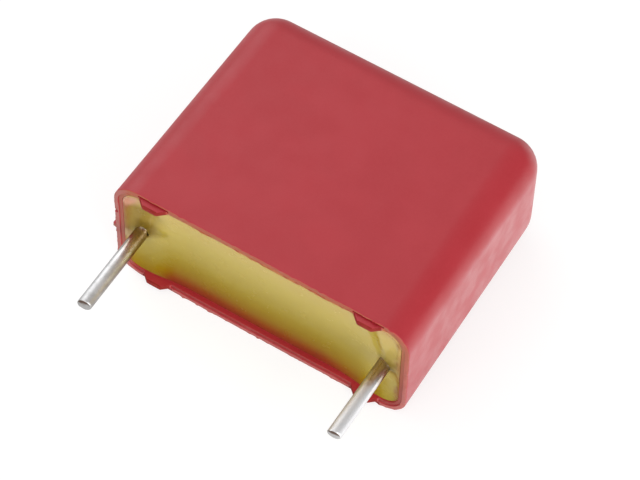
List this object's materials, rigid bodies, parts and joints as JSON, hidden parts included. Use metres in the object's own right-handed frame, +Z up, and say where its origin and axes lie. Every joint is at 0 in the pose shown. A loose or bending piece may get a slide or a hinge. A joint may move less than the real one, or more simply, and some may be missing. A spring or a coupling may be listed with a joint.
{
  "type": "box film capacitor",
  "caption": "Rectangular moulded plastic box with rounded edges and stand-off feet, its open end filled with cast resin from which straight round wire leads stand out.",
  "frame": {"origin": "midway between the two leads, on the plane that the feet seat on a circuit board", "axes": "X from the left lead to the right lead, leads along -Y, +Y to the case's closed end, +Z up through the thickness; the part lies on its broad side at -Z"},
  "size_m": [0.0183, 0.0198, 0.0078],
  "materials": {
    "case_plastic": "satin moulded red plastic",
    "cast_resin": "glossy cast resin, beige to olive yellow",
    "metallised_film": "silvery wound film",
    "plain_film": "clear film, milky in layers",
    "sprayed_zinc": "matt sprayed metal",
    "tinned_wire": "satin tinned wire"
  },
  "bodies": {
    "root": {"case": "case_plastic", "potting": "cast_resin", "film_roll": "metallised_film", "cover_film": "plain_film", "end_spray_left": "sprayed_zinc", "end_spray_right": "sprayed_zinc", "lead_left": "tinned_wire", "lead_right": "tinned_wire"}
  },
  "joints": []
}
